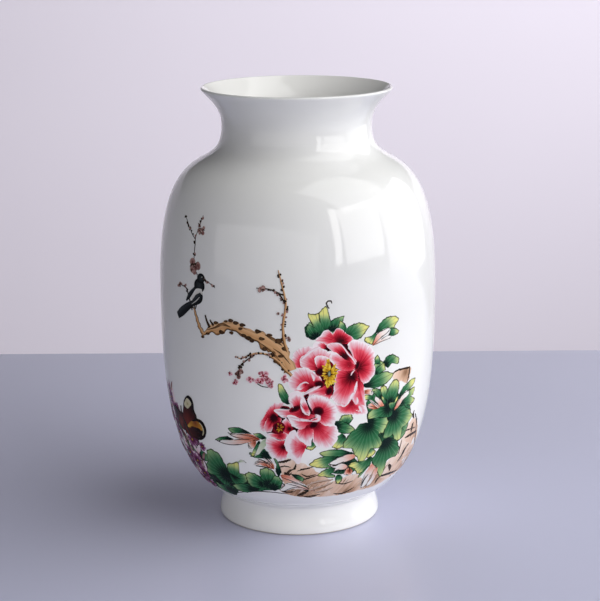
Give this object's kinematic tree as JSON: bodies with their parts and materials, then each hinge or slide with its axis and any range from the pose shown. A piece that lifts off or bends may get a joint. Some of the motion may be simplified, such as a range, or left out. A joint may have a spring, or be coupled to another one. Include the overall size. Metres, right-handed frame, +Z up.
{
  "type": "flower vase",
  "caption": "Round porcelain vase with a ring foot, a long full belly, a short narrow neck and a flared mouth, for holding cut flowers.",
  "frame": {"origin": "middle of the foot's resting face, on the vase's axis", "axes": "+Z up along the vase's axis towards the mouth; -Y towards the decorated front"},
  "size_m": [0.158, 0.158, 0.25],
  "materials": {
    "glazed_porcelain": "glossy clear glaze over white porcelain",
    "luting_slip": "fired slip, matt"
  },
  "bodies": {
    "root": {"foot_ring": "glazed_porcelain", "lower_body": "glazed_porcelain", "upper_body": "glazed_porcelain", "neck_mouth": "glazed_porcelain", "foot_luting_slip": "luting_slip", "belly_luting_slip": "luting_slip", "neck_luting_slip": "luting_slip"}
  },
  "joints": []
}
